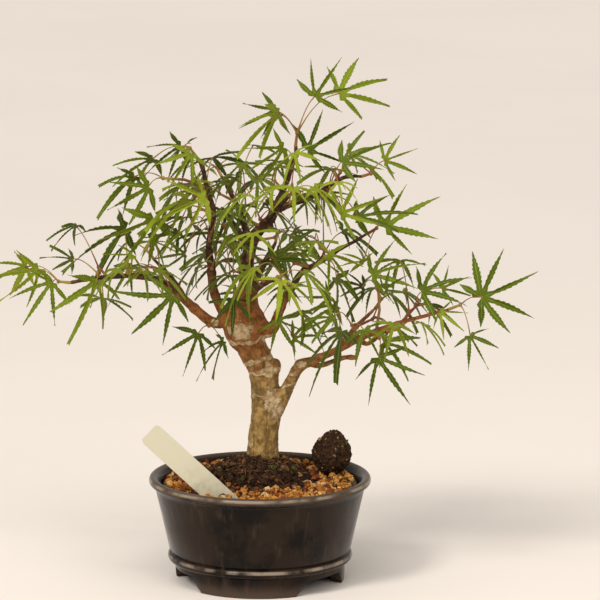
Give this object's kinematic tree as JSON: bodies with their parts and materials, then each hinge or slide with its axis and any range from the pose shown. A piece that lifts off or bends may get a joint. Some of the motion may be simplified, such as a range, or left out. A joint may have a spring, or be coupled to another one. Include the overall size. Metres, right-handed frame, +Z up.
{
  "type": "potted bonsai maple tree",
  "caption": "Small maple bonsai with a twisting trunk and cut-leaved foliage, growing in a round glazed pot on bracket feet, with grit top dressing and a blank label.",
  "frame": {"origin": "pot axis at the level its feet stand on", "axes": "+Z up, -Y to the front of the pot, +X to the right; the row's longest side runs along X"},
  "size_m": [0.3732, 0.235, 0.359],
  "materials": {
    "glaze": "dark brown gloss glaze, lighter where it thins over the rim and feet",
    "mesh_plastic": "moulded plastic grid",
    "clip_wire": "dull soft aluminium wire",
    "soil": "packed granular soil",
    "grit": "loose baked-clay grains, ochre to red-brown",
    "compost": "dark crumbly compost with moss and root fibres",
    "fertiliser": "rough dark pressed cake",
    "label_plastic": "smooth pale plastic, blank",
    "bark": "olive to red-brown bark with pale scars",
    "foliage": "thin matt leaves, yellow-green to dark green, with red leaf stalks"
  },
  "bodies": {
    "root": {"pot": "glaze", "drainage_mesh": "mesh_plastic", "mesh_clip": "clip_wire", "soil_block": "soil", "grit_layer": "grit", "compost_mound": "compost", "fertiliser_ball": "fertiliser", "plant_label": "label_plastic", "trunk": "bark", "apex_spray": "foliage", "back_high_spray": "foliage", "back_high_tip_spray": "foliage", "back_low_spray": "foliage", "back_low_tip_spray": "foliage", "centre_spray": "foliage", "front_high_tip_spray": "foliage", "front_low_spray": "foliage", "front_low_tip_spray": "foliage", "head_left_spray": "foliage", "head_right_spray": "foliage", "leader_back_spray": "foliage", "leader_spray": "foliage", "left_back_spray": "foliage", "left_back_tip_spray": "foliage", "left_fan_spray": "foliage", "left_front_tip_spray": "foliage", "left_inner_spray": "foliage", "left_long_back_spray": "foliage", "left_mid_spray": "foliage", "left_outer_spray": "foliage", "left_tip_spray": "foliage", "left_top_spray": "foliage", "left_upper_spray": "foliage", "low_front_spray": "foliage", "low_inner_spray": "foliage", "low_right_back_spray": "foliage", "low_right_spray": "foliage", "mid_right_back_spray": "foliage", "mid_right_spray": "foliage", "mid_right_tip_spray": "foliage", "right_back_spray": "foliage", "right_back_tip_spray": "foliage", "right_front_tip_spray": "foliage", "right_riser_spray": "foliage", "right_tip_spray": "foliage", "upper_right_back_spray": "foliage", "upper_right_spray": "foliage", "upper_right_tip_spray": "foliage", "upright_back_spray": "foliage"}
  },
  "joints": []
}
